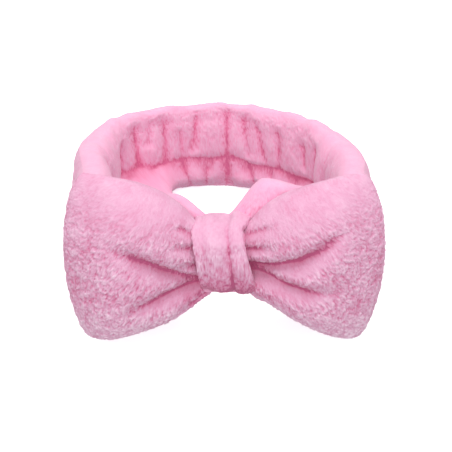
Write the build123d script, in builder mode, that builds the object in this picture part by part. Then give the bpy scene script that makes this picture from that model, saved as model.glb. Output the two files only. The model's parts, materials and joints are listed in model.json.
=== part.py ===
from build123d import *
import math
import os

# Spa headband with a stuffed bow, in millimetres.
#
# The headband lies on a table with the bow towards -Y.  The bow is taller than the
# band, so its two lower corners hold the front up, and the whole ring leans back by
# `lean` on its rear edge.
#
# Everything is drawn in the leaning frame `lay`: x to the right, y to the rear and
# z up the height of the band, with z = 0 at the band's lower edge.

# --- how it lies -----------------------------------------------------------------------
lean = math.radians(7)
lift = 10.6
setback = -0.2         # puts the origin under the middle of the whole headband
lay = Plane(
    origin=(0, setback, lift), x_dir=(1, 0, 0), z_dir=(0, math.sin(lean), math.cos(lean))
)

# --- the band --------------------------------------------------------------------------
band_height = 60
band_middle = band_height / 2
rear_thickness = 15
front_thickness = 13

half_width = 82        # all of these are of the band's centreline
rear_depth = 85
widest_y = 5
join_y = -30           # where the gathered tube is sewn to the plain one
join_gap = 0.3
corner_radius = 36
corner_x = half_width - corner_radius
front_y = join_y - corner_radius

elastic_width = 30
elastic_thickness = 1.4
elastic_height = 35    # of its middle, above the band's lower edge
channel_play = 0.6
tube_seam_diameter = 1.2
tube_seam_height = 6

# --- the knot and what it holds --------------------------------------------------------
knot_half_width = 15.5
knot_wall = 3
knot_radius = 11.8
knot_edge_radius = 1.3
pinched_height = 31
pinched_thickness = 9
waist_height = 38.6
waist_thickness = 18.3
waist_radius = 8.6
layer_gap = 0.2
seam_y = front_y - pinched_thickness / 2    # between the bow and the plain tube
waist_y = seam_y - layer_gap - waist_thickness / 2
knot_inner_height = waist_height + 2 * layer_gap
knot_inner_depth = waist_thickness + pinched_thickness + 3 * layer_gap
knot_y = front_y + pinched_thickness / 2 + layer_gap - knot_inner_depth / 2
knot_back_y = knot_y + knot_inner_depth / 2 + knot_wall

# --- the wings of the bow ----------------------------------------------------------------
# Stations from the knot outwards: x, thickness, height, and y and z of the middle.
wing_stations = [
    (16.2, 17, 38, -80.4, 30),
    (34, 24, 58, -87.4, 30),
    (57, 25, 80, -88.4, 27.5),
    (76, 20, 95, -82, 26),
    (88, 10, 68, -80, 25),
]
wing_lean = 5          # degrees, further back than the band
panel_thickness = 3
panel_split_y = -83     # the edge seam, where the front and back panels meet
seam_inset = 1.3

# --- thread --------------------------------------------------------------------------------
thread_diameter = 0.9
stitch_length = 3.2
thread_turns = 4
turn_spacing = 1.4
groove_depth = 1.1


def place(x, y, z):
    """A point of the leaning frame."""
    return lay.from_local_coords(Vector(x, y, z))


def station(x, y, z, tilt=0):
    """A plane square to X, with its own x up the band, tilted back by `tilt` degrees."""
    upright = lay.z_dir.rotate(Axis.X, -tilt)
    return Plane(origin=place(x, y, z), x_dir=upright, z_dir=(1, 0, 0))


def save(part, name):
    """Labels a finished piece and writes it as one STEP file."""
    part.label = name
    export_step(part, f"parts/{name}.step")


def evenly(first, last, count):
    """`count` values from first to last."""
    step = (last - first) / (count - 1)
    return [first + step * i for i in range(count)]


def stitches(places, along, length=stitch_length):
    """Short separate threads centred on `places`, each lying along `along`."""
    with BuildPart() as row:
        for spot in places:
            with Locations(Plane(origin=place(*spot), z_dir=along)):
                Cylinder(thread_diameter / 2, length)
    return row.part


os.makedirs("parts", exist_ok=True)

# --- gathered rear tube, the elastic in it and the seam that closes it ---------------------
with BuildLine(lay.offset(band_middle)) as rear_route:
    Line((half_width, join_y + join_gap), (half_width, widest_y))
    EllipticalCenterArc((0, widest_y), half_width, rear_depth, 0, arc_size=180)
    Line((-half_width, widest_y), (-half_width, join_y + join_gap))
rear_path = rear_route.line
rear_start = Plane(origin=rear_path @ 0, x_dir=lay.z_dir, z_dir=rear_path % 0)

with BuildPart() as rear_sleeve:
    with BuildSketch(rear_start):
        SlotOverall(band_height, rear_thickness)
    sweep(path=rear_path)
    with BuildSketch(rear_start):
        with Locations((elastic_height - band_middle, 0)):
            Rectangle(elastic_width + channel_play, elastic_thickness + channel_play)
    sweep(path=rear_path, mode=Mode.SUBTRACT)
    split(bisect_by=Plane.XY, keep=Keep.TOP)
save(rear_sleeve.part, "rear_sleeve")

with BuildPart() as elastic_band:
    with BuildSketch(rear_start):
        with Locations((elastic_height - band_middle, 0)):
            Rectangle(elastic_width, elastic_thickness)
    sweep(path=rear_path)
save(elastic_band.part, "elastic_band")

with BuildPart() as rear_sleeve_seam:
    with BuildSketch(rear_start):
        with Locations((tube_seam_height - band_middle, 0)):
            Circle(tube_seam_diameter / 2)
    sweep(path=rear_path)
save(rear_sleeve_seam.part, "rear_sleeve_seam")

# --- plain front tube, pinched where the knot holds it -------------------------------------
with BuildPart() as front_sleeve:
    for side in (1, -1):
        with BuildLine(lay.offset(band_middle)) as corner:
            CenterArc((side * corner_x, join_y), corner_radius, 90 - side * 90, -side * 90)
        arc = corner.line
        with BuildSketch(Plane(origin=arc @ 0, x_dir=lay.z_dir, z_dir=arc % 0)):
            SlotOverall(band_height, front_thickness)
        sweep(path=arc)
        with BuildSketch(station(side * corner_x, front_y, band_middle)):
            SlotOverall(band_height, front_thickness)
        with BuildSketch(station(side * knot_half_width, front_y, band_middle)):
            SlotOverall(pinched_height, pinched_thickness)
        loft()
    with BuildSketch(station(0, front_y, band_middle)):
        SlotOverall(pinched_height, pinched_thickness)
    extrude(amount=knot_half_width, both=True)
save(front_sleeve.part, "front_sleeve")

# --- the joins: topstitches down both faces of the plain tube's mouths ---------------------
join_stitch_y = join_y - 4
turned = math.asin((join_y - join_stitch_y) / corner_radius)
for side, name in ((-1, "left_join_stitches"), (1, "right_join_stitches")):
    spots = []
    for face in (-1, 1):
        reach = corner_radius + face * front_thickness / 2
        spot_x = side * (corner_x + reach * math.cos(turned))
        spot_y = join_y - reach * math.sin(turned)
        spots += [(spot_x, spot_y, z) for z in evenly(12, 48, 7)]
    save(stitches(spots, lay.z_dir), name)

# --- the gathered waist of the bow, its thread and the tacks that hold it ------------------
groove_height = waist_height - 2 * groove_depth
groove_thickness = waist_thickness - 2 * groove_depth
groove_radius = waist_radius - groove_depth

with BuildPart() as bow_waist:
    with BuildSketch(station(0, waist_y, band_middle)):
        RectangleRounded(waist_height, waist_thickness, waist_radius)
    extrude(amount=knot_half_width, both=True)
    with BuildSketch(station(0, waist_y, band_middle)):
        RectangleRounded(waist_height, waist_thickness, waist_radius)
        RectangleRounded(groove_height, groove_thickness, groove_radius, mode=Mode.SUBTRACT)
    extrude(amount=thread_turns * turn_spacing / 2, both=True, mode=Mode.SUBTRACT)
save(bow_waist.part, "bow_waist")

with BuildPart() as waist_thread:
    for turn in range(thread_turns):
        turn_x = (turn - (thread_turns - 1) / 2) * turn_spacing
        with BuildSketch(station(turn_x, waist_y, band_middle)):
            RectangleRounded(
                groove_height + 2 * thread_diameter,
                groove_thickness + 2 * thread_diameter,
                groove_radius + thread_diameter,
            )
            RectangleRounded(
                groove_height, groove_thickness, groove_radius, mode=Mode.SUBTRACT
            )
        extrude(amount=thread_diameter / 2, both=True)
save(waist_thread.part, "waist_thread")

tack_spots = [(x, seam_y, z) for x in (-9, 9) for z in (22, 38)]
save(stitches(tack_spots, lay.y_dir, length=6), "bow_tack_stitches")

# --- the knot: a strip wrapped round the waist and the plain tube --------------------------
with BuildPart() as knot_wrap:
    with BuildSketch(station(0, knot_y, band_middle)):
        RectangleRounded(
            knot_inner_height + 2 * knot_wall, knot_inner_depth + 2 * knot_wall, knot_radius
        )
        RectangleRounded(
            knot_inner_height, knot_inner_depth, knot_radius - knot_wall, mode=Mode.SUBTRACT
        )
    extrude(amount=knot_half_width, both=True)
    rims = knot_wrap.faces().filter_by(Axis.X)
    fillet([edge for rim in rims for edge in rim.outer_wire().edges()], knot_edge_radius)
save(knot_wrap.part, "knot_wrap")

closing_spots = [(0, knot_back_y, z) for z in evenly(18, 42, 7)]
save(stitches(closing_spots, Vector(1, 0, 0), length=5), "knot_closing_stitches")


# --- the wings: front panel, back panel, filling and edge seam -----------------------------
def wing_body(side, inset):
    """The closed shape of a wing, taken in by `inset` all round."""
    with BuildPart() as body:
        for x, thickness, height, y, z in wing_stations:
            if x == wing_stations[0][0]:
                x += inset
            if x == wing_stations[-1][0]:
                x -= inset
            with BuildSketch(station(side * x, y, z, wing_lean)):
                SlotOverall(height - 2 * inset, thickness - 2 * inset)
        loft()
        split(bisect_by=Plane.XY.offset(inset), keep=Keep.TOP)
    return body.part


def edge_spots(side):
    """Places round the top, the tip and the bottom of a wing's edge."""
    spots = []
    for edge in (1, -1):
        for near, far in zip(wing_stations, wing_stations[1:]):
            for part_way in (0.25, 0.75):
                x, _, height, _, z = [a + (b - a) * part_way for a, b in zip(near, far)]
                reach = edge * (height / 2 - seam_inset)
                slant = -reach * math.sin(math.radians(wing_lean))
                spots.append((side * x, panel_split_y - slant, z + reach))
    return spots


split_plane = Plane(
    origin=place(0, panel_split_y, band_middle),
    x_dir=(1, 0, 0),
    z_dir=-lay.y_dir.rotate(Axis.X, -wing_lean),
)
for side, name in ((-1, "left"), (1, "right")):
    outside = wing_body(side, 0)
    inside = wing_body(side, panel_thickness)
    for keep, face in ((Keep.TOP, "front"), (Keep.BOTTOM, "back")):
        with BuildPart() as bow_panel:
            add(outside)
            add(inside, mode=Mode.SUBTRACT)
            split(bisect_by=split_plane, keep=keep)
        save(bow_panel.part, f"bow_{name}_{face}_panel")
    save(inside, f"bow_{name}_filling")
    seam = stitches(edge_spots(side), lay.y_dir)
    save(seam, f"bow_{name}_edge_seam")
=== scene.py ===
# %% [markdown]
# # A plush spa headband with a bow
#
# The headband is sewn from coral fleece, a knitted cloth with a thick brushed pile. A tube
# of fleece with an elastic in it makes the back of the ring, a plain tube goes over the
# forehead, and a stuffed bow sits on the plain tube, held by a strip of the same cloth.
# The hard facts, such as where each piece lies and how it moves, come from the packed
# frame. This file adds the cloth.

# %% The frame
import json
import math

import bmesh
import bpy
import numpy as np
from mathutils import Matrix, Vector


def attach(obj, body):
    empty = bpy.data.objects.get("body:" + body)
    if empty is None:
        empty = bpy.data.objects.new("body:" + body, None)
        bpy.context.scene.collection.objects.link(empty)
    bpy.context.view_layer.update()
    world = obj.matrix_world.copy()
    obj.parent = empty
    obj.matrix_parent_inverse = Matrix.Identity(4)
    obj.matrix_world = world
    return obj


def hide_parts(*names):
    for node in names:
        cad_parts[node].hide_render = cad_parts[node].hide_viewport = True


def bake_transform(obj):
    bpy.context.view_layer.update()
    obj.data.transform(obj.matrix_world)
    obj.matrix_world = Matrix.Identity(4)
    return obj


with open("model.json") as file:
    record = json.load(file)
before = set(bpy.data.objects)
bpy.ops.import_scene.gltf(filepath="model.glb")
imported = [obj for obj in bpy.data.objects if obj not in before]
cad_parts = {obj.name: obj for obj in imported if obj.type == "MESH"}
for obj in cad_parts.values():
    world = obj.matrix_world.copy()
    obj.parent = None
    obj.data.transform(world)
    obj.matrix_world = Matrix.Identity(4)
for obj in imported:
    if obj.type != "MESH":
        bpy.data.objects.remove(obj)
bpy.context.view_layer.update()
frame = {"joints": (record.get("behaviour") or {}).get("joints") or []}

# %% [markdown]
# ## The leaning frame
#
# The bow is taller than the band, so on a table its corners lift the front and the whole
# ring leans back. It is easiest to shape the cloth in a frame that leans with it: x to the
# right, y to the rear and z up the height of the band. The hinge of a wing runs up that z,
# so the lean is read from its axis. Lengths are in millimetres while we shape, and become
# metres when a piece is placed.

# %% The leaning frame
MM = 0.001
hinge = next(j for j in frame["joints"] if j["name"] == "left_wing_flex")
UP = Vector(hinge["axis"]).normalized()
LEAN = math.atan2(UP.y, UP.z)
HINGE = Vector(hinge["pos_m"]) / MM
HINGE_LOCAL = Vector((-16.2, -89.6, 30))     # the same hinge in the leaning frame
TURN = Matrix.Rotation(-LEAN, 3, "X")
ORIGIN = HINGE - TURN @ HINGE_LOCAL
print("lean", round(math.degrees(LEAN), 2), "degrees, origin", [round(c, 2) for c in ORIGIN])


def to_world(points):
    """Points of the leaning frame in millimetres, as world points in metres."""
    turn = np.array(TURN)
    return (np.asarray(points) @ turn.T + np.array(ORIGIN)) * MM


# %% [markdown]
# ## Meshes as arrays
#
# Each piece of cloth starts as a grid from an operator. Its vertices are then moved by a
# function of where they lie on the cloth, and numpy moves all of them at once.

# %% Reading and writing a mesh's points
def get_points(mesh):
    points = np.empty(len(mesh.vertices) * 3)
    mesh.vertices.foreach_get("co", points)
    return points.reshape(-1, 3)


def set_points(mesh, points):
    mesh.vertices.foreach_set("co", np.ascontiguousarray(points, dtype=float).ravel())
    mesh.update()


def get_normals(mesh):
    normals = np.empty(len(mesh.vertices) * 3)
    mesh.vertices.foreach_get("normal", normals)
    return normals.reshape(-1, 3)


def set_attribute(mesh, name, values):
    """One number or one vector for each vertex, which a material can read by name."""
    values = np.asarray(values, dtype=float)
    kind = "FLOAT" if values.ndim == 1 else "FLOAT_VECTOR"
    layer = mesh.attributes.new(name, kind, "POINT")
    layer.data.foreach_set("value" if kind == "FLOAT" else "vector", values.ravel())


def get_attribute(mesh, name):
    layer = mesh.attributes[name]
    width = 1 if layer.data_type == "FLOAT" else 3
    values = np.empty(len(mesh.vertices) * width)
    layer.data.foreach_get("value" if width == 1 else "vector", values)
    return values if width == 1 else values.reshape(-1, 3)


def make_object(name, bm):
    mesh = bpy.data.meshes.new(name)
    bm.to_mesh(mesh)
    bm.free()
    obj = bpy.data.objects.new(name, mesh)
    bpy.context.scene.collection.objects.link(obj)
    for face in mesh.polygons:
        face.use_smooth = True
    return obj


def apply_modifiers(obj):
    """Keeps what the modifiers make and drops the modifiers."""
    graph = bpy.context.evaluated_depsgraph_get()
    mesh = bpy.data.meshes.new_from_object(obj.evaluated_get(graph))
    old = obj.data
    obj.modifiers.clear()
    obj.data = mesh
    bpy.data.meshes.remove(old)
    mesh.name = obj.name


def subdivide(obj, levels):
    modifier = obj.modifiers.new("fine", "SUBSURF")
    modifier.levels = modifier.render_levels = levels
    apply_modifiers(obj)


# %% [markdown]
# ## Noise for cloth
#
# Fleece has clumps of fibre in it, and no two puffs are alike. Both come from value noise:
# a random number at each point of a lattice, blended smoothly in between. The numbers come
# from a hash of the lattice point, so they are the same on every run.

# %% Value noise
def lattice_value(cell, seed):
    """A fixed random number from 0 to 1 for each whole-numbered point."""
    mixed = cell[..., 0] * 374761393 + cell[..., 1] * 668265263 + cell[..., 2] * 2147483647
    mixed = (mixed + seed * 1442695041) & 0xFFFFFFFF
    mixed = ((mixed ^ (mixed >> 13)) * 1274126177) & 0xFFFFFFFF
    mixed = ((mixed ^ (mixed >> 16)) * 2246822519) & 0xFFFFFFFF
    return (mixed ^ (mixed >> 15)) / 0xFFFFFFFF


def noise(points, seed=0):
    """Smooth noise from 0 to 1, with lumps about one unit wide."""
    points = np.asarray(points, dtype=float)
    cell = np.floor(points).astype(np.int64)
    part = points - cell
    part = part * part * (3 - 2 * part)
    total = 0
    for corner in np.ndindex(2, 2, 2):
        weight = np.prod(np.where(corner, part, 1 - part), axis=-1)
        total = total + weight * lattice_value(cell + np.array(corner), seed)
    return total


def smooth_step(values, low, high):
    part = np.clip((np.asarray(values, dtype=float) - low) / (high - low), 0, 1)
    return part * part * (3 - 2 * part)


def hump(values, centre, width):
    """A smooth bump, 1 at the centre."""
    return np.exp(-((values - centre) / width) ** 2)


# %% [markdown]
# ## Camera
#
# A soft object like this looks best from about thirty degrees above the table. A long lens
# keeps the bow from looking bigger than it is.

# %% Camera
CAMERA_ELEVATION = math.radians(32)
CAMERA_DISTANCE = 0.7
LENS_RATIO = 2.498      # focal length over the width of the sensor
LOOK_AT = Vector((0.0019, -0.0075, 0.028))
CENTRE_HEIGHT = 0.040   # what the distance and elevation are measured from

camera_data = bpy.data.cameras.new("camera")
camera_data.lens = LENS_RATIO * camera_data.sensor_width
camera = bpy.data.objects.new("camera", camera_data)
bpy.context.scene.collection.objects.link(camera)
camera.location = (
    0,
    -CAMERA_DISTANCE * math.cos(CAMERA_ELEVATION),
    CENTRE_HEIGHT + CAMERA_DISTANCE * math.sin(CAMERA_ELEVATION),
)
camera.rotation_euler = (LOOK_AT - camera.location).to_track_quat("-Z", "Y").to_euler()
bpy.context.scene.camera = camera
print("camera at", [round(c, 3) for c in camera.location])


# %% [markdown]
# ## Writing materials as sums
#
# A material is a network of nodes, and most of it is arithmetic. A small class wraps a
# socket so that an expression such as `light * 0.5 + 0.2` adds the Math nodes by itself.

# %% Sockets that add up
class Socket:
    """A shader value: one output socket of one node."""

    def __init__(self, tree, socket):
        self.tree = tree
        self.socket = socket

    def maths(self, operation, *values):
        return add_node(self.tree, "ShaderNodeMath", {"operation": operation}, *values)

    def wave(self, per_unit):
        """A sine wave along this value, from 0 to 1."""
        angle = self * per_unit
        return self.maths("SINE", angle) * 0.5 + 0.5

    def __add__(self, other):
        return self.maths("ADD", self, other)

    def __sub__(self, other):
        return self.maths("SUBTRACT", self, other)

    def __rsub__(self, other):
        return self.maths("SUBTRACT", other, self)

    def __mul__(self, other):
        return self.maths("MULTIPLY", self, other)

    def __pow__(self, other):
        return self.maths("POWER", self, other)

    __radd__ = __add__
    __rmul__ = __mul__


def add_node(tree, kind, settings, *values, output=0, **named):
    """Adds a node: settings first, then its inputs in order or by name."""
    node = tree.nodes.new(kind)
    for key, value in settings.items():
        if key == "stops":
            ramp = node.color_ramp
            while len(ramp.elements) < len(value):
                ramp.elements.new(1)
            for stop, (place, colour) in zip(ramp.elements, value):
                stop.position = place
                stop.color = (*colour, 1)
        else:
            setattr(node, key, value)
    inputs = [(node.inputs[i], v) for i, v in enumerate(values)]
    inputs += [(node.inputs[k.replace("_", " ")], v) for k, v in named.items()]
    for socket, value in inputs:
        if isinstance(value, Socket):
            tree.links.new(value.socket, socket)
        else:
            socket.default_value = value
    return Socket(tree, node.outputs[output])


def mix_colours(tree, amount, dark, light):
    node = tree.nodes.new("ShaderNodeMix")
    node.data_type = "RGBA"
    inputs = ((node.inputs[0], amount), (node.inputs[6], dark), (node.inputs[7], light))
    for socket, value in inputs:
        if isinstance(value, Socket):
            tree.links.new(value.socket, socket)
        elif isinstance(value, (int, float)):
            socket.default_value = value
        else:
            socket.default_value = (*value, 1)
    return Socket(tree, node.outputs[2])


def new_material(name, **fixed):
    """A material with a Principled shader, whose fixed numbers are set on its own sockets."""
    material = bpy.data.materials.new(name)
    material.use_nodes = True
    shader = material.node_tree.nodes["Principled BSDF"]
    for key, value in fixed.items():
        shader.inputs[key.replace("_", " ")].default_value = value
    return material, material.node_tree, shader


def plug(tree, value, socket):
    tree.links.new(value.socket, socket)


def add_bump(tree, shader, height, strength, distance):
    """Relief too fine for the mesh, `distance` metres deep."""
    bump = add_node(
        tree, "ShaderNodeBump", {}, Strength=strength, Distance=distance, Height=height
    )
    plug(tree, bump, shader.inputs["Normal"])


def finish_surface(obj, material):
    obj.data.materials.clear()
    obj.data.materials.append(material)


# %% [markdown]
# ## Lights and table
#
# Two large softboxes and a pale room give light with hardly any shadow. The room is darker
# near the floor, so the undersides are too. The paper glows slightly, which keeps it white.

# %% Lights
SOFTBOX_SIZE = 0.8
BAND_MIDDLE = (0, 0, 0.04)


def area_light(name, place, power):
    data = bpy.data.lights.new(name, "AREA")
    data.shape = "SQUARE"
    data.size = SOFTBOX_SIZE
    data.energy = power
    light = bpy.data.objects.new(name, data)
    bpy.context.scene.collection.objects.link(light)
    light.location = place
    aim = Vector(BAND_MIDDLE) - Vector(place)
    light.rotation_euler = aim.to_track_quat("-Z", "Y").to_euler()
    print(name, "gives", power, "watts")


area_light("softbox_above", (0.0, -0.05, 1.0), power=4.8)
area_light("softbox_front", (-0.05, -1.15, 0.65), power=5.2)

world = bpy.data.worlds.new("studio")
world.use_nodes = True
sky = world.node_tree
direction = add_node(sky, "ShaderNodeTexCoord", {})
height = add_node(sky, "ShaderNodeSeparateXYZ", {}, direction, output=2)
room_stops = [(0.25, (0.50, 0.48, 0.51)), (0.85, (0.72, 0.72, 0.72))]
room = add_node(sky, "ShaderNodeValToRGB", {"stops": room_stops}, height * 0.5 + 0.5)
plug(sky, room, sky.nodes["Background"].inputs["Color"])
bpy.context.scene.world = world
bpy.context.scene.view_settings.view_transform = "Standard"

# %% Table
TABLE_HALF_WIDTH = 4
PAPER_GLOW = 0.55

bm = bmesh.new()
bmesh.ops.create_grid(bm, x_segments=1, y_segments=1, size=TABLE_HALF_WIDTH)
table = make_object("table", bm)
paper, tree, shader = new_material("white_paper", Roughness=0.9, Specular_IOR_Level=0.1)
shader.inputs["Base Color"].default_value = (0.9, 0.9, 0.9, 1)
shader.inputs["Emission Color"].default_value = (1, 1, 1, 1)
shader.inputs["Emission Strength"].default_value = PAPER_GLOW
table.data.materials.append(paper)
table.visible_diffuse = False
print("table:", 2 * TABLE_HALF_WIDTH, "m square")


# %% [markdown]
# ## Coral fleece
#
# Fleece shows three things. The pile lies one way, so it has fine streaks along that lie.
# The tips catch the light and look almost white from the side, which is sheen. The roots
# are deeper and redder, because light reaches them only through other fibres. Each piece
# carries attributes for this: `nap`, which measures along and across the lie of the pile
# in millimetres, `tip`, which is 0 at the roots of a clump and 1 at its tips and on some
# pieces also carries painted light and shade, a painted crease shade, which is 1 at the
# bottom of a crease and darkens the colour there, and `loft`, which is small where the
# pile lies flat.

# %% Coral fleece
def fleece_material(name, deep, roots, middle, tips):
    material, tree, shader = new_material(
        name, Roughness=0.95, Specular_IOR_Level=0.1, Sheen_Weight=0.28, Sheen_Roughness=0.5
    )
    shader.inputs["Sheen Tint"].default_value = (1, 0.86, 0.92, 1)
    nap = add_node(tree, "ShaderNodeAttribute", {"attribute_name": "nap"}, output=1)
    tip, fold, loft = (
        add_node(tree, "ShaderNodeAttribute", {"attribute_name": key}, output=2)
        for key in ("tip", "fold", "loft")
    )
    times = {"operation": "MULTIPLY"}
    long = add_node(tree, "ShaderNodeVectorMath", times, nap, (0.5, 1.6, 1.2))
    fibres = add_node(
        tree, "ShaderNodeTexNoise", {}, Vector=long, Scale=1.0, Detail=3.0, Roughness=0.6
    )
    wide = add_node(tree, "ShaderNodeVectorMath", times, nap, (0.07, 0.1, 0.1))
    clumps = add_node(tree, "ShaderNodeTexNoise", {}, Vector=wide, Scale=1.0, Detail=2.0)
    # Painted shade: the crease shade and any painted shade in `tip` pull the colour towards
    # `deep`.
    amount = tip * 0.5 + (fibres - 0.5) * loft + (clumps - 0.5) * 0.35 + 0.25 - fold * 0.65
    # `deep` is the painted shade colour, for the bottoms of creases and the underside of the
    # knot.
    stops = [(0.0, deep), (0.16, roots), (0.46, middle), (1.0, tips)]
    colour = add_node(tree, "ShaderNodeValToRGB", {"stops": stops}, amount)
    plug(tree, colour, shader.inputs["Base Color"])
    add_bump(tree, shader, fibres, strength=0.6, distance=0.0005)
    print("fleece:", name)
    return material


plush = fleece_material(
    "pink_fleece", deep=(0.74, 0.17, 0.33), roots=(0.83, 0.24, 0.41),
    middle=(0.93, 0.43, 0.63), tips=(0.97, 0.65, 0.81),
)
# A darker copy of the fleece for the bow: its darker deep, roots and middle are painted shade.
shaded = fleece_material(
    "tufted_fleece", deep=(0.54, 0.12, 0.25), roots=(0.68, 0.20, 0.35),
    middle=(0.76, 0.38, 0.55), tips=(0.95, 0.70, 0.83),
)


# %% [markdown]
# ## Brushing the pile
#
# After a piece has its shape, its surface is brushed: clumps of fibre stand about half a
# millimetre proud, longer along the nap than across it, and lean the way the nap lies.
# Fibre on a face that looks up is pressed flat by its own weight, so it stands less there.

# %% Brushing the pile
def relax(mesh, points, times):
    """Each point moves to the middle of its neighbours, over and over."""
    edges = np.empty(len(mesh.edges) * 2, dtype=np.int64)
    mesh.edges.foreach_get("vertices", edges)
    one, two = edges[0::2], edges[1::2]
    count = np.bincount(edges, minlength=len(points))[:, None]
    for _ in range(times):
        total = np.empty_like(points)
        for axis in range(3):
            column = points[:, axis]
            total[:, axis] = np.bincount(one, column[two], len(points))
            total[:, axis] += np.bincount(two, column[one], len(points))
        points = total / np.maximum(count, 1)
    return points


def paint_crease_shade(obj, times, deepest):
    """Writes a painted crease shade: how far a point lies below the smoothed surface around it.

    It darkens the colour in creases as painted shade, added to any `crease` the piece has.
    A crease in a face that looks up gets light right to its bottom, so it is painted less dark.
    """
    mesh = obj.data
    points = get_points(mesh)
    smoothed = relax(mesh, points, times)
    below = np.sum((smoothed - points) * get_normals(mesh), axis=1) / MM
    known = get_attribute(mesh, "crease") if "crease" in mesh.attributes else 0
    lit = 1 - 0.7 * smooth_step(get_normals(mesh)[:, 2], 0.3, 0.9)
    set_attribute(mesh, "fold", lit * np.clip(below / deepest + 0.8 * known, 0, 1))


def brush(obj, height, lean, seed, along=1.6, across=0.7, shade=0, contrast=1):
    """Raises clumps of pile, `along` by `across` in size, that lie the way of `nap_way`."""
    mesh = obj.data
    nap = get_attribute(mesh, "nap")
    way = get_attribute(mesh, "nap_way")
    way /= np.maximum(np.linalg.norm(way, axis=1, keepdims=True), 1e-9)
    normals = get_normals(mesh)
    way -= normals * np.sum(way * normals, axis=1, keepdims=True)
    wander = noise(nap / 5, seed + 5)[:, None] * np.array([0, 2.0, 0])
    clump = noise((nap + wander) / np.array([along, across, 1.6]), seed)
    fine = noise((nap + wander) / np.array([along * 0.55, across * 0.55, 1]), seed + 1)
    broad = noise(nap / np.array([along * 3, across * 4, 5]), seed + 2)
    tip = 0.5 * clump + 0.38 * fine + 0.12 * broad
    tip = np.clip((tip - 0.25) / 0.5, 0, 1)
    flat = 1 - 0.75 * smooth_step(normals[:, 2], 0.1, 0.75)
    rise = (tip - 0.5) * height * MM * flat
    set_points(mesh, get_points(mesh) + normals * rise[:, None] + way * (rise * lean)[:, None])
    # `tip` also carries `shade`, painted light or shade that moves the colour lighter or darker.
    set_attribute(mesh, "tip", 0.5 + (tip - 0.5) * flat * contrast + shade)
    set_attribute(mesh, "loft", flat * contrast)


# %% [markdown]
# ## Stuffing a piece
#
# A stuffed piece gets its round shape from the filling that presses on the cloth from
# inside. A short cloth simulation with pressure does that. Some places are held: where the
# knot grips the cloth, and along the bottoms of the creases. Each point is then kept within
# a few millimetres of where it began, so that the piece stays the size it was cut to.

# %% Stuffing a piece
def stuff(obj, held, pressure, most, frames=16):
    """Blows a piece up. `held` is 1 where a point can't move, and `most` is in millimetres."""
    start = get_points(obj.data)
    group = obj.vertex_groups.new(name="held")
    for index in np.flatnonzero(held > 0.01):
        group.add([int(index)], float(held[index]), "REPLACE")
    cloth = obj.modifiers.new("cloth", "CLOTH")
    settings = cloth.settings
    settings.vertex_group_mass = "held"
    settings.quality = 6
    settings.mass = 0.05
    settings.tension_stiffness = 5
    settings.compression_stiffness = 5
    settings.shear_stiffness = 2
    settings.bending_stiffness = 0.05
    settings.use_pressure = True
    settings.uniform_pressure_force = pressure
    settings.effector_weights.gravity = 0
    cloth.collision_settings.use_collision = False
    for number in range(1, frames + 1):
        bpy.context.scene.frame_set(number)
    apply_modifiers(obj)
    obj.vertex_groups.clear()
    moved = get_points(obj.data) - start
    length = np.linalg.norm(moved, axis=1, keepdims=True)
    moved *= np.minimum(1, most * MM / np.maximum(length, 1e-9))
    set_points(obj.data, relax(obj.data, start + moved, 1))
    bpy.context.scene.frame_set(1)
    print(obj.name, "was pushed out by up to", round(float(length.max()) / MM, 1), "mm")


# %% [markdown]
# ## The route of the band
#
# Seen from above, the band is half an ellipse at the back, short straight sides, and two
# round corners that lead to the knot. A table of points along that route lets any piece
# ask for the place at a distance s from the right-hand join.

# %% The route of the band
HALF_WIDTH = 82
REAR_DEPTH = 85
WIDEST_Y = 5
JOIN_Y = -30
FRONT_Y = -66
BAND_HEIGHT = 60
SKEW = -6               # how far the soft ring sags to the left at the back
LEFT_SAG = -6           # how far its shoulders sag outwards
RIGHT_SAG = 4


def polyline(points):
    """Distances along a dense run of points, and the points."""
    steps = np.linalg.norm(np.diff(points, axis=0), axis=1)
    return np.concatenate([[0], np.cumsum(steps)]), points


def along_route(route, s):
    distances, points = route
    place = np.stack([np.interp(s, distances, points[:, i]) for i in (0, 1)], axis=-1)
    ahead = np.stack([np.interp(s + 0.5, distances, points[:, i]) for i in (0, 1)], axis=-1)
    behind = np.stack([np.interp(s - 0.5, distances, points[:, i]) for i in (0, 1)], axis=-1)
    way = ahead - behind
    way /= np.maximum(np.linalg.norm(way, axis=-1, keepdims=True), 1e-9)
    outward = np.stack([way[..., 1], -way[..., 0]], axis=-1)
    return place, outward


angles = np.linspace(0, math.pi, 400)
rear_arc = np.stack([HALF_WIDTH * np.cos(angles), WIDEST_Y + REAR_DEPTH * np.sin(angles)], 1)
sides = np.linspace(JOIN_Y, WIDEST_Y, 40)[:-1, None]
right_side = np.hstack([np.full_like(sides, HALF_WIDTH), sides])
left_side = right_side[::-1] * np.array([-1, 1])
rear_route = polyline(np.vstack([right_side, rear_arc, left_side]))
REAR_LENGTH = rear_route[0][-1]
print("rear half of the band:", round(REAR_LENGTH), "mm along its middle")


def skew(points):
    """The soft ring leans to the left towards the back, and its left shoulder sags out."""
    amount = smooth_step(points[:, 1], JOIN_Y, REAR_DEPTH)
    left = smooth_step(-points[:, 0], 20, 75) * smooth_step(points[:, 1], -25, 30)
    right = smooth_step(points[:, 0], 20, 75) * (1 - smooth_step(points[:, 1], 30, 75))
    right = right * smooth_step(points[:, 1], -30, 0)
    points = points.copy()
    points[:, 0] += SKEW * amount + LEFT_SAG * left + RIGHT_SAG * right
    return points


# %% [markdown]
# ## A tube of cloth along a route
#
# Both halves of the band are tubes. A tube starts as a flat grid, which is the cloth before
# it is sewn. A shape function says where each place of the cloth ends up, and the two long
# edges then meet under the band and are merged, as the lengthwise seam does.

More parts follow.
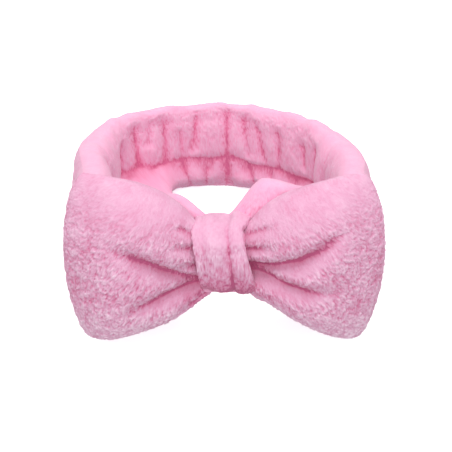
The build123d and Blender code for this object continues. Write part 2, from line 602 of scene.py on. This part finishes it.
# %% A tube of cloth along a route
def sew(obj, cap=False, reach=0.02):
    """Merges the edges that lie together, closes the open ends and turns the faces out."""
    bm = bmesh.new()
    bm.from_mesh(obj.data)
    bmesh.ops.remove_doubles(bm, verts=bm.verts, dist=reach * MM)
    if cap:
        bmesh.ops.holes_fill(bm, edges=[e for e in bm.edges if e.is_boundary], sides=0)
        wide = [f for f in bm.faces if len(f.verts) > 4]
        bmesh.ops.poke(bm, faces=wide)
    bmesh.ops.recalc_face_normals(bm, faces=bm.faces)
    bm.to_mesh(obj.data)
    bm.free()
    for face in obj.data.polygons:
        face.use_smooth = True


def lay_cloth(name, columns, rows, shape, cap=False):
    """A grid of cloth moved to shape(u, v), which gives points and nap coordinates.

    A shape can also give how much painted crease shade each point gets, kept as `crease`.
    """
    bm = bmesh.new()
    bmesh.ops.create_grid(bm, x_segments=columns, y_segments=rows, size=0.5)
    obj = make_object(name, bm)
    flat = get_points(obj.data)[:, :2] + 0.5
    points, nap, *folded = shape(flat[:, 0], flat[:, 1])
    ahead = shape(flat[:, 0], np.clip(flat[:, 1] + 0.002, 0, 1))[0]
    behind = shape(flat[:, 0], np.clip(flat[:, 1] - 0.002, 0, 1))[0]
    for values in folded:
        set_attribute(obj.data, "crease", values)
    set_points(obj.data, to_world(points))
    set_attribute(obj.data, "nap", nap)
    set_attribute(obj.data, "nap_way", (ahead - behind) @ np.array(TURN).T)
    sew(obj, cap)
    return obj


# %% [markdown]
# ## The creases of the gathered tube
#
# The elastic is shorter than the fleece it sits in, so the fleece puckers. Each pucker is a
# sharp valley between two round puffs. The main valleys are placed one by one, and those
# along the sides and on the outer face at random.

# %% The creases of the gathered tube
# Main valleys: degrees round the back, depth, lower end, upper end, slant.
VALLEYS = [
    (-51, 3.0, 22, 46, 0), (-39, 4.2, 18, 52, -1), (-33, 2.2, 38, 54, 3),
    (-24.5, 4.6, 24, 54, -1), (-17, 3.4, 18, 44, -2), (-10.5, 4.0, 28, 55, 3),
    (6.5, 5.0, 0, 58, 0), (16.5, 3.2, 26, 54, -3), (24, 3.4, 24, 50, -5),
    (34, 3.2, 20, 48, -1), (50, 2.6, 28, 46, -3), (60, 3.0, 12, 50, 0),
]
# Valleys of the loose lower row: degrees round the back, depth, slant.
LOWER_VALLEYS = [
    (-42, 2.4, 3), (-28, 2.8, 4), (-14, 3.4, 4), (-4, 3.0, 0),
    (8, 2.0, 2), (20, 3.2, 4), (31, 2.6, 3), (45, 2.4, 2),
]
SIDE_REACH = 62         # how far from the joins the random side valleys go
chance = np.random.default_rng(7)


def valley(distance, width):
    """1 in the bottom of a crease, falling away sharply at first and then slowly."""
    return np.exp(-np.abs(distance) / width)


def crease(height, above, below):
    """Like a valley, with its own width above the line and below it."""
    return np.exp(-np.where(height > 0, height / above, -height / below))


def back_angle_to_s(degrees):
    """The distance along the route of a place `degrees` to the right of the back."""
    index = np.interp(math.radians(90 - degrees), angles, np.arange(len(angles)))
    return np.interp(index + len(right_side), np.arange(len(rear_route[0])), rear_route[0])


side_valleys = []
for edge, inward in ((0, 1), (REAR_LENGTH, -1)):
    gap = 5
    while gap < SIDE_REACH:
        fade = 0.35 + 0.65 * gap / SIDE_REACH
        depth = chance.uniform(1.8, 3.6) * fade
        side_valleys.append((edge + inward * gap, depth, chance.uniform(-2, 2)))
        gap += chance.uniform(7, 11)
outer_valleys = []
place = 6
while place < REAR_LENGTH - 6:
    outer_valleys.append((place, chance.uniform(1.6, 3.4), chance.uniform(-3, 3)))
    place += chance.uniform(7, 12)
print("creases:", len(VALLEYS), "main,", len(LOWER_VALLEYS), "lower,",
      len(side_valleys), "at the sides,", len(outer_valleys), "outside")


def inner_creases(s, z):
    """Depths of the valleys on the inner face, and the painted shade of their bottoms."""
    dents = 0 * s
    lines = 0 * s
    for degrees, depth, low, high, slant in VALLEYS:
        distance = s - back_angle_to_s(degrees) + slant * (z - 36) / 20
        reach = smooth_step(z, low - 5, low + 2) * (1 - smooth_step(z, high - 6, high + 4))
        dents = dents + 1.9 * depth * reach * valley(distance, 4.2)
        lines = lines + 0.12 * depth * reach * valley(distance, 2.2)
    for degrees, depth, slant in LOWER_VALLEYS:
        distance = s - back_angle_to_s(degrees) + slant * (10 - z) / 10
        reach = 1 - smooth_step(z, 15, 21)
        dents = dents + depth * reach * valley(distance, 3.0)
        lines = lines + 0.1 * depth * reach * valley(distance, 1.8)
    for centre, depth, slant in side_valleys:
        dent = depth * valley(s - centre - slant * (z - 30) / 30, 3.2)
        dents = dents + 0.6 * dent
        lines = lines + 0.1 * dent
    return dents, lines


def outer_creases(s, z):
    """Depths of the valleys on the outer face."""
    dents = 0 * s
    for centre, depth, slant in outer_valleys:
        dents = dents + depth * valley(s - centre - slant * (z - 30) / 30, 4.0)
    return dents


# %% [markdown]
# ## The gathered tube
#
# The elastic fills only the upper part of the tube, so the puffs are pinched above it and
# below it, and the fleece below it hangs as a second, looser row. No crease can go deeper
# than the elastic. On the left, the loose row flops into the ring as a wide lobe.

# %% The gathered tube
THICKNESS = 15
SIDE_FATNESS = 11       # how much thicker the soft tube is beside the joins
SECTION_LENGTH = 140    # round the tube
ELASTIC_ROOM = 1.6      # from the middle of the elastic to the bottom of a crease
SAG = 6                 # how far the loose lower edge hangs into the ring at the joins
LEFT_HANG = 24          # and further back, on the left and on the right
RIGHT_HANG = 7
MOUTH_TUCK = 0.14       # how much narrower a tube is where it is sewn to the next


def tube_section(v, thickness, height):
    """Offsets outwards and up for a place v round a tube, starting under it."""
    turn = v * 2 * math.pi
    up = -np.cos(turn)
    out = -np.sin(turn)
    z = height / 2 * np.sign(up) * np.abs(up) ** 0.92
    w = thickness / 2 * np.sign(out) * np.abs(out) ** 0.7
    return w, z


def within(dent, room):
    """A dent that flattens out as it nears the room there is for it. Bulges stay."""
    room = np.maximum(room, 0.01)
    return np.where(dent > 0, room * (1 - np.exp(-np.maximum(dent, 0) / room)), dent)


def gathered(u, v):
    s = u * REAR_LENGTH
    zero = s * 0
    end = np.minimum(s, REAR_LENGTH - s)
    side = 1 - smooth_step(end, 60, 105)
    calm = 0.35 + 0.65 * smooth_step(end, 20, 85)

    # The plain section of the tube
    fat = SIDE_FATNESS * side
    w, z = tube_section(v, 1, BAND_HEIGHT)
    w = w * (THICKNESS + fat) - fat / 2
    z = z + BAND_HEIGHT / 2
    inner = smooth_step(-w - fat / 2, -3.0, 6.0)
    outer = smooth_step(w + fat / 2, -3.0, 6.0)

    # Creases and puffs
    ripple = noise(np.stack([s / 7, zero, zero], 1), 5)
    crease_height = 20.5 + 6.5 * (noise(np.stack([s / 17, zero, zero], 1), 3) - 0.5)
    dents, lines = inner_creases(s, z)
    pinch = 8.5 * crease(z - crease_height, 2.2, 6.0)
    pinch = (pinch + 0.5 * valley(z - 50, 2.0) * (0.4 + ripple)) * (1 - 0.6 * side)
    outer_pinch = 2.2 * valley(z - crease_height, 5.0) + 0.8 * valley(z - 50, 4.0)
    lower_row = 2.6 * hump(z, 8, 6)
    puffs = 2.6 * (noise(np.stack([s / 9, z / 16, zero], 1), 8) - 0.5)
    inner_dents = calm * inner * (pinch + dents - lower_row - puffs)
    outer_dents = calm * outer * (outer_pinch + outer_creases(s, z) - puffs)
    w = w + within(inner_dents, -ELASTIC_ROOM - w) - within(outer_dents, w - ELASTIC_ROOM)
    # Painted shadow under the horizontal crease and along the valleys, which darkens the colour.
    shadow = 0.62 * crease(z - crease_height, 1.0, 6.0) * (1 - 0.6 * side)
    shadow = calm * inner * np.clip(shadow + lines, 0, 1)

    # The loose lower edge, the rim and the mouths
    left_lobe = smooth_step(s, back_angle_to_s(-17), back_angle_to_s(-36))
    right_lobe = 1 - smooth_step(s, back_angle_to_s(58), back_angle_to_s(38))
    hang = (LEFT_HANG * left_lobe + RIGHT_HANG * right_lobe) * (1 - side) + SAG * side
    w = w - (inner * 0.7 + 0.3) * hang * (1 - smooth_step(z, 6, 24))
    rim = smooth_step(z, 46, 60)
    z = z + rim * (0.5 * (1 - side) + calm * (1.8 * (ripple - 0.5) - 0.3 * dents))
    close = np.exp(-end / 1.2)
    w = w * (1 - MOUTH_TUCK * close)
    z = 30 + (z - 30) * (1 - 0.1 * close)

    place, outward = along_route(rear_route, s)
    points = skew(np.column_stack([place + outward * w[:, None], z]))
    return points, np.column_stack([v * SECTION_LENGTH, s, zero]), shadow


def stretch_with_band(piece):
    """Bakes the placement of a piece into its points."""
    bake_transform(piece)


rear_sleeve = lay_cloth("rear_sleeve_plush", 400, 168, gathered, cap=True)
paint_crease_shade(rear_sleeve, 40, 3.0)
# Painted light: shade=0.18 paints the gathered tube lighter all over.
brush(rear_sleeve, height=0.7, lean=0.5, seed=11, shade=0.18, contrast=0.8)
finish_surface(rear_sleeve, plush)
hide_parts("rear_sleeve")
stretch_with_band(rear_sleeve)
print("rear sleeve:", len(rear_sleeve.data.polygons), "faces")

# %% [markdown]
# ## The plain tube
#
# The front tube has no elastic. It lies flat and soft, bends round to the knot in one long
# curve, and narrows where the knot squeezes it, with folds that run out from the knot.

# %% The plain tube
arc = np.linspace(0, math.pi, 300)
front_points = np.stack([
    HALF_WIDTH * np.sign(np.cos(arc)) * np.abs(np.cos(arc)) ** 0.9,
    JOIN_Y + (FRONT_Y - JOIN_Y) * np.sin(arc) ** 0.9,
], 1)
front_route = polyline(front_points)
FRONT_LENGTH = front_route[0][-1]


def plain(u, v):
    s = u * FRONT_LENGTH
    zero = s * 0
    end = np.minimum(s, FRONT_LENGTH - s)
    place, outward = along_route(front_route, s)
    outward = -outward
    x = place[:, 0]
    from_knot = np.abs(x)
    right = smooth_step(x, -10, 10)
    squeeze = 1 - smooth_step(from_knot, 4 - 2 * right, 30 - 6 * right)

    # The section, squeezed at the knot
    height = BAND_HEIGHT + 1 + 9 * right * hump(from_knot, 34, 26) - squeeze * 28
    thickness = 15 + 5 * hump(from_knot, 34, 20) - squeeze * 7
    fat = SIDE_FATNESS * (1 - smooth_step(end, 10, 60))
    w, z = tube_section(v, 1, height)
    w = w * (thickness + fat) - fat / 2
    z = z + (4 * hump(x, -20, 13) + 8.5 * hump(x, 20, 19)) * smooth_step(z, 0, 20)

    # Folds near the knot and the soft lower edge
    folds = valley(z - 6 * squeeze - 3, 2.4) * 2.4 + valley(z + 12, 2.2) * 2.0
    soft = 2.2 * (noise(np.stack([s / 22, z / 18, zero], 1), 21) - 0.5)
    inner = smooth_step(-w - fat / 2, -3.0, 6.0)
    outer = smooth_step(w + fat / 2, -3.0, 6.0)
    w = w + (inner - outer) * (folds * hump(from_knot, 22, 14) - soft)
    flop = SAG * smooth_step(from_knot, 40, 70) * (1 - smooth_step(z, -24, -6))
    w = w - (inner * 0.7 + 0.3) * flop

    tuck = 1 - MOUTH_TUCK * np.exp(-end / 1.2)
    xy = place + outward * (w * tuck)[:, None]
    points = np.column_stack([xy, 30 + z * tuck])
    return points, np.column_stack([v * SECTION_LENGTH, s + 500, zero])


front_sleeve = lay_cloth("front_sleeve_plush", 260, 150, plain, cap=True)
paint_crease_shade(front_sleeve, 30, 2.6)
# Painted light: shade=0.06 paints the plain tube a little lighter all over.
brush(front_sleeve, height=0.7, lean=0.5, seed=12, shade=0.06, contrast=0.8)
finish_surface(front_sleeve, plush)
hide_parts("front_sleeve")
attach(front_sleeve, "front_band")
print("front sleeve:", len(front_sleeve.data.polygons), "faces")

# %% [markdown]
# ## The wings of the bow
#
# A wing is two panels sewn together round the edge and stuffed. The knot gathers the inner
# end, so creases run out from it and split the front into round lobes. `a` runs from the
# knot to the tip and `b` from the bottom edge, -1, to the top edge, 1.

# %% The outline of a wing
# Points (x, z) of the top and bottom edges. An outline ends with the bulge of its tip.
LEFT_TOP = [
    (5, 46), (12, 48), (16, 55), (21, 61.5), (33, 70.5), (44, 75), (55, 78), (65, 79.5), (92, 80),
]
RIGHT_TOP = [
    (5, 46), (12, 48), (16, 55), (21, 61), (33, 69.5), (44, 73.5), (55, 77), (65, 79), (92, 80),
]
LEFT_BOTTOM = [
    (5, 12), (13, 5), (19, 1), (27, -4), (42, -9), (58, -13.5), (67, -17), (76, -17.5), (92, -9),
]
RIGHT_BOTTOM = [
    (5, 15), (13, 13), (21, 8), (33, 1.5), (48, -7), (61, -13.5), (71, -17), (79, -17.5),
    (92, -9),
]
OUTLINES = {-1: (LEFT_TOP, LEFT_BOTTOM, 14.5), 1: (RIGHT_TOP, RIGHT_BOTTOM, 16)}
ROOT_X = 5              # the inner end, hidden in the knot
CORNER_X = 76           # where the top and bottom edges end
WING_LEAN = math.tan(math.radians(5))
# Where the middle of a wing lies from front to rear, and how thick it is, at several x.
MIDDLE_Y = [(7, -80), (16, -80.5), (34, -84.5), (57, -86), (76, -83), (88, -80)]
FULLNESS = [(5, 11), (13, 16), (21, 26), (40, 30), (62, 30), (76, 25), (90, 19)]


def rounded(table, x):
    """A smooth curve through a few points of a table."""
    xs, ys = zip(*table)
    near = [np.interp(x + shift, xs, ys) for shift in (-5, -2.5, 0, 2.5, 5)]
    return sum(near) / len(near)


# %% [markdown]
# ## The surface of a wing
#
# Gathering makes creases that run out from the knot and fade. A crease has a steep side
# above it, where the cloth folds over, and a gentle side below. Between the creases the
# panel bulges, and it is thickest a third of the way out.

# %% The surface of a wing
# Creases: points (x, z) of the line, where it ends, how deep it cuts, and how wide it is
# above the line and below it.
LEFT_CREASES = [
    ([(5, 20), (18, 23.3), (32, 31), (47, 39.5), (62, 46)], 68, 0.66, 3.0, 6.5),
    ([(5, 19), (20, 17.5), (30, 15.5), (40, 12.5), (54, 7)], 60, 0.7, 3.0, 6.0),
]
RIGHT_CREASES = [
    ([(5, 27), (25, 32), (41, 37), (53, 44.5), (66, 54)], 76, 0.7, 3.0, 5.5),
    ([(5, 26), (20, 26), (27, 25), (35, 22), (46, 20.5), (60, 20)], 68, 0.7, 2.5, 5.0),
]
BACK_CREASES = [
    ([(5, 35), (60, 45)], 58, 0.6, 5.0, 5.0),
    ([(5, 24), (60, 16)], 62, 0.6, 5.0, 5.0),
]


def crease_depth(lines, x, z):
    total = 0
    for line, end, depth, above, below in lines:
        xs, zs = zip(*line)
        strong = depth * (1 - smooth_step(x, end * 0.5, end))
        total = total + strong * crease(z - np.interp(x, xs, zs), above, below)
    for root_z in (13, 31, 38, 44):
        line_z = 30 + (root_z - 30) * (1 + (x - 7) / 26)
        total = total + 0.4 * (1 - smooth_step(x, 15, 32)) * valley(z - line_z, 1.8)
    return np.clip(total, 0, 0.9)


def wing_surface(a, b, side, front, creases, inset=0, full=1):
    """Points of one panel of a wing, and how deep in a crease each one lies."""
    top_edge, bottom_edge, tip_bulge = OUTLINES[side]
    tip = CORNER_X - inset + tip_bulge * np.sqrt(np.clip(1 - b * b, 0, 1))
    root = ROOT_X + inset * 5
    x = root + a * (tip - root)
    top = rounded(top_edge, x) - inset
    bottom = rounded(bottom_edge, x) + inset
    z = (top + bottom) / 2 + b * (top - bottom) / 2
    edge = np.clip(1 - np.abs(b) ** 2.4, 0, 1) ** 0.5
    tip_round = np.clip(1 - a ** 5, 0, 1) ** 0.5
    root_round = np.clip(1 - (1 - np.clip(a / 0.04, 0, 1)) ** 2, 0, 1) ** 0.5
    share = 0.6 if front else 0.4
    folded = crease_depth(creases, x, z)
    lumps = 0.2 * (noise(np.stack([x / 22 + side * 9, z / 22, x * 0 + front * 5], 1), 31) - 0.5)
    rounding = edge * tip_round * root_round
    depth = full * rounded(FULLNESS, x) * share * rounding * (1 - folded + lumps)
    lies_back = 0.0042 * np.clip(z - 36, 0, None) ** 2 * smooth_step(x, 5, 30)
    y = rounded(MIDDLE_Y, x) + (z - 30) * WING_LEAN + (-depth if front else depth) + lies_back
    return np.column_stack([side * x, y, z]), folded


# %% [markdown]
# ## Sewing a wing
#
# The two panels start as two copies of one grid. Their edges lie together and are merged,
# which makes a closed envelope. The pile of a wing is brushed outwards from a place above
# the knot. Its colour is painted lighter towards the lower corners, as painted light, and a
# little darker elsewhere, as painted shade.

# %% Sewing a wing
NAP_CENTRE_Z = 108


def wing_nap(obj, side):
    """Writes nap coordinates and direction. Returns painted light and shade for the pile."""
    points = (get_points(obj.data) / MM - np.array(ORIGIN)) @ np.array(TURN)
    away = np.column_stack([points[:, 0], points[:, 2] - NAP_CENTRE_Z])
    radius = np.linalg.norm(away, axis=1)
    fan = np.arctan2(away[:, 0], -away[:, 1])
    nap = np.column_stack([radius + points[:, 1] * 0.6, fan * 80, points[:, 1] + side * 100])
    way = np.column_stack([away[:, 0] / radius, 0 * radius, away[:, 1] / radius])
    set_attribute(obj.data, "nap", nap)
    set_attribute(obj.data, "nap_way", way @ np.array(TURN).T)
    # Painted light towards the lower corners, and painted shade of 0.06 over all the rest.
    return 0.45 * smooth_step(16 - points[:, 2], 0, 28) - 0.06


def wing_envelope(name, side, creases, columns, rows, **changes):
    """Two panels sewn together round the edge, before they are stuffed."""
    bm = bmesh.new()
    bmesh.ops.create_grid(bm, x_segments=columns, y_segments=rows, size=0.5)
    copy = bmesh.ops.duplicate(bm, geom=bm.verts[:] + bm.edges[:] + bm.faces[:])
    for element in copy["geom"]:
        if isinstance(element, bmesh.types.BMVert):
            element.co.z = 1
    obj = make_object(name, bm)
    flat = get_points(obj.data)
    a = flat[:, 0] + 0.5
    b = np.sin(flat[:, 1] * 2.2) / math.sin(1.1)     # closer rows near the edges
    front = flat[:, 2] > 0.5
    points = np.empty((len(flat), 3))
    folded = np.empty(len(flat))
    for is_front, lines in ((True, creases), (False, BACK_CREASES)):
        chosen = front == is_front
        points[chosen], folded[chosen] = wing_surface(
            a[chosen], b[chosen], side, is_front, lines, **changes
        )
    set_points(obj.data, to_world(points))
    grip = 1 - smooth_step(np.abs(points[:, 0]), 16, 22)
    set_attribute(obj.data, "held", np.clip(grip + folded * 0.9, 0, 1))
    # `crease` gives the wing painted crease shade, weaker on the back panel.
    set_attribute(obj.data, "crease", np.where(front, folded, 0.4 * folded))
    order = np.where(a > 0.9999, 2 - b, -1)
    order = np.where(b < -0.9999, 4 - a, order)
    order = np.where(b > 0.9999, a, order)
    set_attribute(obj.data, "seam_order", order)
    sew(obj)
    return obj


# %% [markdown]
# ## The filling
#
# The filling is loose white polyester fibre, a cloud of tangled strands.

# %% The filling's material
fibre, tree, shader = new_material(
    "white_fibre", Roughness=0.9, Specular_IOR_Level=0.2, Sheen_Weight=0.3
)
where = add_node(tree, "ShaderNodeTexCoord", {}, output=3)
strands = add_node(
    tree, "ShaderNodeTexNoise", {}, Vector=where, Scale=900.0, Detail=4.0, Distortion=2.0
)
fibre_colour = mix_colours(tree, strands, (0.72, 0.72, 0.73), (0.97, 0.97, 0.96))
plug(tree, fibre_colour, shader.inputs["Base Color"])
add_bump(tree, shader, strands, strength=0.7, distance=0.001)
print("filling:", fibre.name)

# %% [markdown]
# ## Both wings
#
# Each wing is sewn, stuffed and brushed. Its filling is a smaller copy that starts clear of
# the knot. The line of the edge seam is kept before brushing, and sewn later.

# %% Both wings
SEAM_IN = 1.6           # how far the seam lies in from the edge
SEAM_STEP = 1.5


def seam_line(wing):
    """The line of the edge seam, a little way in from the edge, as a zigzag."""
    order = get_attribute(wing.data, "seam_order")
    chosen = np.flatnonzero(order >= 0)
    chosen = chosen[np.argsort(order[chosen])]
    points = get_points(wing.data)[chosen] - get_normals(wing.data)[chosen] * SEAM_IN * MM
    points = points[np.abs(points[:, 0]) > 0.017]
    lengths, points = polyline(points)
    steps = np.arange(0, lengths[-1], SEAM_STEP * MM)
    line = np.stack([np.interp(steps, lengths, points[:, i]) for i in range(3)], axis=1)
    line[:, 1] += zigzag(len(line), 0.6 * MM)
    return line


def zigzag(count, size):
    return size * np.where(np.arange(count) % 2, 1, -1)


def bend_with_wing(piece, side):
    """Bakes the placement of a piece into its points."""
    side * 0.014
    side * 0.034
    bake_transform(piece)


seams = []
for side, word, creases in ((-1, "left", LEFT_CREASES), (1, "right", RIGHT_CREASES)):
    wing = wing_envelope(f"bow_{word}_wing_plush", side, creases, 46, 62)
    stuff(wing, get_attribute(wing.data, "held"), pressure=12.0, most=3.0)
    filling = wing_envelope(
        f"bow_{word}_wing_filling", side, creases, 40, 40, inset=4, full=0.7
    )
    seams.append((side, word, seam_line(wing)))
    subdivide(wing, 2)
    paint_crease_shade(wing, 60, 2.0)
    shade = wing_nap(wing, side)
    brush(
        wing, height=0.95, lean=0.6, seed=40 + side, along=2.0, across=0.7,
        shade=shade, contrast=1.15,
    )
    finish_surface(wing, shaded)
    finish_surface(filling, fibre)
    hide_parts(f"bow_{word}_front_panel", f"bow_{word}_back_panel")
    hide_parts(f"bow_{word}_filling")
    for piece in (wing, filling):
        bend_with_wing(piece, side)
    print(wing.name, len(wing.data.polygons), "faces")

# %% [markdown]
# ## The knot
#
# The knot is a strip of fleece wrapped round the waist of the bow and the front tube. The
# strip is folded in three, so one fold edge shows as a pleat that runs down its face.

# %% The knot
KNOT_MIDDLE_Y = -77
KNOT_MIDDLE_Z = 33
KNOT_HALF_HEIGHT = 20
KNOT_HALF_DEPTH = 17
STRIP_WIDTH = 31
STRIP_THICKNESS = 4.5
KNOT_SLANT = 3.6        # how far the face of the knot leans to the left at its top


def knot_strip(u, v):
    turn = (u - 0.25) * 2 * math.pi         # the strip's ends meet at the back
    across = v * 2 * math.pi
    c, n = np.cos(turn), np.sin(turn)
    height = np.sign(c) * np.abs(c) ** 0.8
    front = smooth_step(n, -0.2, 0.6)
    width = STRIP_WIDTH - 3 * front * (height * 0.5 + 0.5)
    q = np.sign(np.cos(across)) * np.abs(np.cos(across)) ** 0.8
    out = STRIP_THICKNESS / 2 * np.sign(np.sin(across)) * np.abs(np.sin(across)) ** 0.6
    face = smooth_step(out, 0, 1.5)
    x = width / 2 * q - front * KNOT_SLANT * height
    pleat_x = 4.5 - 2.6 * height * front
    step = smooth_step(x - pleat_x, -0.3, 1.2)
    pleat = 1.9 * valley(x - pleat_x, 1.8) - 1.2 * step
    pleat = pleat + 0.9 * valley(x + 10 + 1.5 * height, 1.5)
    soft = 1.4 * (noise(np.stack([x / 8, c * 3, n * 3], 1), 51) - 0.5)
    bulge = 0.9 * np.cos(q * math.pi / 2)
    out = out + face * (bulge - pleat + soft)
    y = KNOT_MIDDLE_Y - np.sign(n) * np.abs(n) ** 0.8 * (KNOT_HALF_DEPTH - 1 + out)
    z = KNOT_MIDDLE_Z + height * (KNOT_HALF_HEIGHT - 1 + out)
    points = np.column_stack([x, y, z])
    return points, np.column_stack([turn * 18, x + 900, u * 0])


knot = lay_cloth("knot_wrap_plush", 220, 110, knot_strip)
paint_crease_shade(knot, 30, 2.0)
# Painted shade: the knot's colour is painted darker towards its bottom.
low = 1 - smooth_step(get_points(knot.data)[:, 2] / MM, 18, 58)
brush(knot, height=0.5, lean=0.3, seed=52, shade=0.02 - 1.8 * low)
finish_surface(knot, shaded)
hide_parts("knot_wrap")
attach(knot, "front_band")
print("knot:", len(knot.data.polygons), "faces")

# %% [markdown]
# ## The waist of the bow
#
# Inside the knot the middle of the bow is drawn in by four turns of thread. The cloth between
# the turns stands up in small pleats.

# %% The waist
WAIST_LENGTH = 25
WAIST_HEIGHT = 37
WAIST_THICKNESS = 16.8
WAIST_MIDDLE_Y = -79.85
PLEATS = 22


def waist(u, v):
    x = (u - 0.5) * WAIST_LENGTH
    w, z = tube_section(v, WAIST_THICKNESS, WAIST_HEIGHT)
    pinch = 0.9 * hump(x, 0, 3.4)
    pleats = 0.3 * np.sin(v * 2 * math.pi * PLEATS + 0.5 * np.sin(x / 3))
    out = 1 + (0.4 - pinch + pleats) / 12
    close = 1 - 0.2 * np.exp(-(WAIST_LENGTH / 2 - np.abs(x)) / 0.8)
    points = np.column_stack([x, WAIST_MIDDLE_Y + w * out * close, 30 + z * out * close])
    return points, np.column_stack([x, v * 90, u * 0])


bow_waist = lay_cloth("bow_waist_pleats", 40, 176, waist, cap=True)
paint_crease_shade(bow_waist, 10, 0.5)
for name in ("tip", "loft"):
    set_attribute(bow_waist.data, name, np.full(len(bow_waist.data.vertices), 0.5))
finish_surface(bow_waist, plush)
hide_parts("bow_waist")
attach(bow_waist, "front_band")
print("waist:", PLEATS, "pleats")

# %% [markdown]
# ## The elastic
#
# Braided elastic is a flat woven ribbon with rubber cores in it. Its warp shows as fine ribs
# along the ribbon, and the weft crosses them. It runs right round the inside of the gathered
# tube and is caught in both joins.

# %% The elastic and its weave
ELASTIC_WIDTH = 30
ELASTIC_THICKNESS = 1.4
ELASTIC_HEIGHT = 35     # of its middle, above the band's lower edge
RIB_SPACING = 1.2
WEFT_SPACING = 0.8


def ribbon(u, v):
    s = 1 + u * (REAR_LENGTH - 2)
    turn = v * 2 * math.pi
    up, out = -np.cos(turn), -np.sin(turn)
    z = ELASTIC_WIDTH / 2 * np.sign(up) * np.abs(up) ** 0.5
    w = ELASTIC_THICKNESS / 2 * np.sign(out) * np.abs(out) ** 0.4
    place, outward = along_route(rear_route, s)
    xy = place + outward * w[:, None]
    points = skew(np.column_stack([xy, ELASTIC_HEIGHT + z]))
    return points, np.column_stack([s, z, w])


weave, tree, shader = new_material("woven_elastic", Roughness=0.7, Specular_IOR_Level=0.3)
nap = add_node(tree, "ShaderNodeAttribute", {"attribute_name": "nap"}, output=1)
across_ribbon = add_node(tree, "ShaderNodeSeparateXYZ", {}, nap, output=1)
along_ribbon = add_node(tree, "ShaderNodeSeparateXYZ", {}, nap, output=0)
ribs = across_ribbon.wave(2 * math.pi / RIB_SPACING)
weft = along_ribbon.wave(2 * math.pi / WEFT_SPACING)
relief = ribs * 0.7 + weft * 0.3
weave_colour = mix_colours(tree, relief, (0.66, 0.63, 0.62), (0.92, 0.90, 0.89))
plug(tree, weave_colour, shader.inputs["Base Color"])
add_bump(tree, shader, relief, strength=0.6, distance=0.0003)

elastic = lay_cloth("elastic_band_woven", 180, 24, ribbon, cap=True)
finish_surface(elastic, weave)
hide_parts("elastic_band")
stretch_with_band(elastic)
print("elastic:", ELASTIC_WIDTH, "mm wide")

# %% [markdown]
# ## Thread
#
# Sewing thread is two strands twisted together, so it shows slanting bands. Short stitches
# keep their plain shape. The long seams are sewn as a small zigzag, which can stretch.

# %% Thread
TWISTS = 7000           # radians of the twist's bands in a metre

thread, tree, shader = new_material("pink_thread", Roughness=0.55, Specular_IOR_Level=0.4)
where = add_node(tree, "ShaderNodeTexCoord", {}, output=3)
dot = {"operation": "DOT_PRODUCT"}
slant = add_node(tree, "ShaderNodeVectorMath", dot, where, (1, 0.7, 1.4), output=1)
twist = slant.wave(TWISTS)
thread_colour = mix_colours(tree, twist, (0.62, 0.14, 0.30), (0.90, 0.42, 0.60))
plug(tree, thread_colour, shader.inputs["Base Color"])
add_bump(tree, shader, twist, strength=0.5, distance=0.0002)

for node in ("waist_thread", "bow_tack_stitches", "knot_closing_stitches"):
    stitches = bpy.data.objects[node]
    stitches.data.materials.clear()
    stitches.data.materials.append(thread)


def sew_thread(name, points, node, radius=0.4):
    """A thread that follows points of the world, in metres."""
    curve = bpy.data.curves.new(name, "CURVE")
    curve.dimensions = "3D"
    curve.bevel_depth = radius * MM
    curve.bevel_resolution = 1
    curve.use_fill_caps = True
    spline = curve.splines.new("POLY")
    spline.points.add(len(points) - 1)
    spline.points.foreach_set("co", np.column_stack([points, np.ones(len(points))]).ravel())
    obj = bpy.data.objects.new(name, curve)
    bpy.context.scene.collection.objects.link(obj)
    graph = bpy.context.evaluated_depsgraph_get()
    mesh = bpy.data.meshes.new_from_object(obj.evaluated_get(graph))
    bpy.data.objects.remove(obj)
    obj = bpy.data.objects.new(name, mesh)
    bpy.context.scene.collection.objects.link(obj)
    sew(obj, reach=0.001)
    finish_surface(obj, thread)
    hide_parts(node)
    return obj


# %% [markdown]
# ## Sewing it together
#
# The joins run round the mouths of the plain tube, on its own surface. The lengthwise seam
# runs under the gathered tube. The seam of a wing follows the line kept from it.

# %% The joins between the two tubes
JOIN_IN = 2.2           # how far a join lies from the mouth
round_tube = np.linspace(0, 1, 120)
for word, near_end in (("right", JOIN_IN), ("left", FRONT_LENGTH - JOIN_IN)):
    along = (near_end + zigzag(len(round_tube), 0.9)) / FRONT_LENGTH
    ring = plain(along, round_tube)[0]
    join = sew_thread(f"{word}_join_thread", to_world(ring), f"{word}_join_stitches")
    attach(join, "front_band")
    print(join.name, "round the", word, "mouth")

# %% The seam of the gathered tube
steps = np.arange(2, REAR_LENGTH - 2, 1.6)
place, outward = along_route(rear_route, steps)
sway = zigzag(len(steps), 0.7)
line = gathered(steps / REAR_LENGTH, np.zeros(len(steps)))[0]
line[:, :2] += outward * sway[:, None]
line[:, 2] += 1.8           # the seam allowance lies inside the tube
tube_seam = sew_thread("rear_sleeve_seam_thread", to_world(line), "rear_sleeve_seam")
stretch_with_band(tube_seam)
print(tube_seam.name, len(steps), "turns of the zigzag")

# %% The seams round the wings
for side, word, seam in seams:
    wing_seam = sew_thread(f"bow_{word}_seam_thread", seam, f"bow_{word}_edge_seam")
    bend_with_wing(wing_seam, side)
    print(wing_seam.name, len(seam), "turns of the zigzag")
